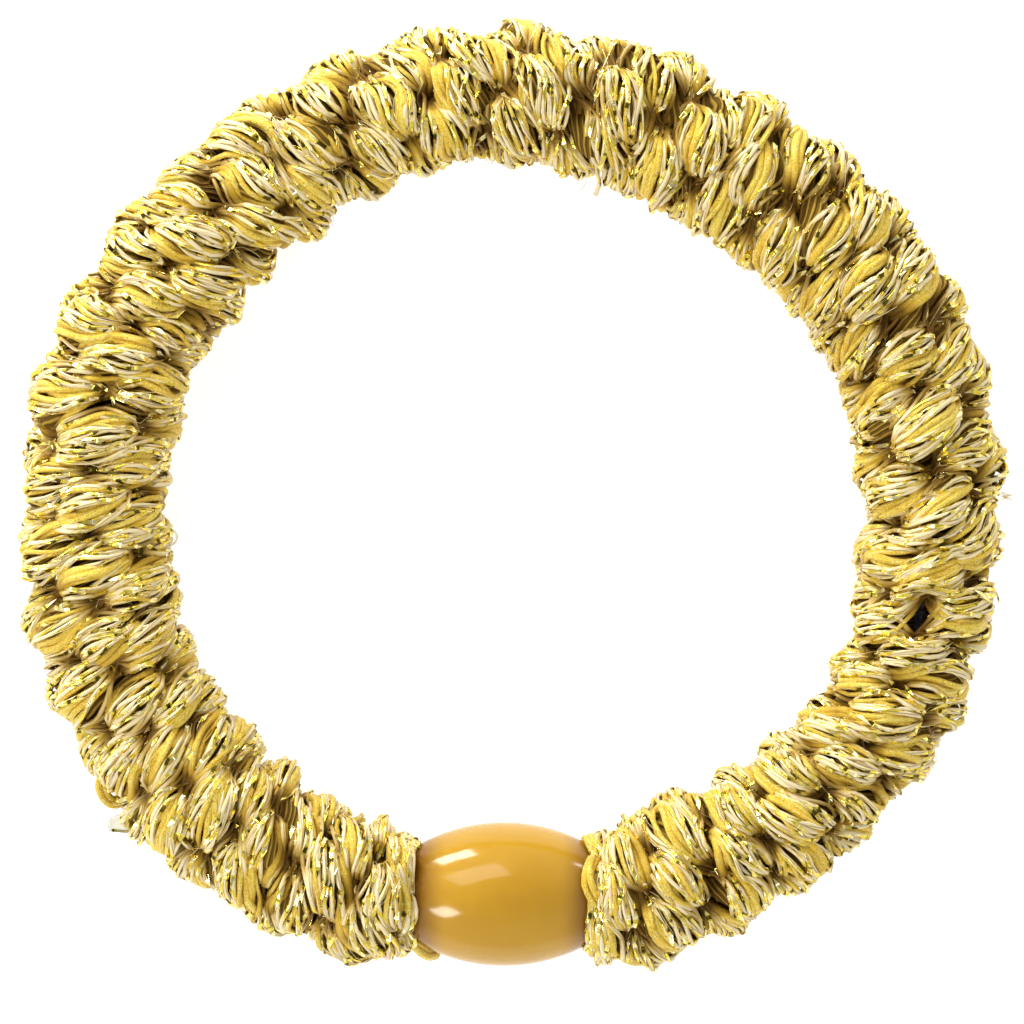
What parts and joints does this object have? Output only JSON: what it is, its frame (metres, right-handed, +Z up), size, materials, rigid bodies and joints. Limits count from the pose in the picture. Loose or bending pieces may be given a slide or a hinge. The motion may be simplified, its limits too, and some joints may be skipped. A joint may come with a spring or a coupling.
{
  "type": "hair tie",
  "caption": "Round elastic hair tie with a thick gathered cover of gold and cream metallic yarn, its ends joined in a glossy barrel bead.",
  "frame": {"origin": "under the middle of the tie's outline, on the surface that it lies on", "axes": "+Z up out of the surface, +X across the ring along the bead's bore, -Y towards the bead"},
  "size_m": [0.0666, 0.064, 0.0104],
  "materials": {
    "bead": "glossy amber-gold moulded plastic",
    "elastic": "black braided-over rubber elastic",
    "yarn": "gold satin yarn, cream yarn and metallic gold film thread, gathered"
  },
  "bodies": {
    "root": {"closure_bead": "bead", "elastic_core": "elastic", "yarn_cover": "yarn"}
  },
  "joints": []
}
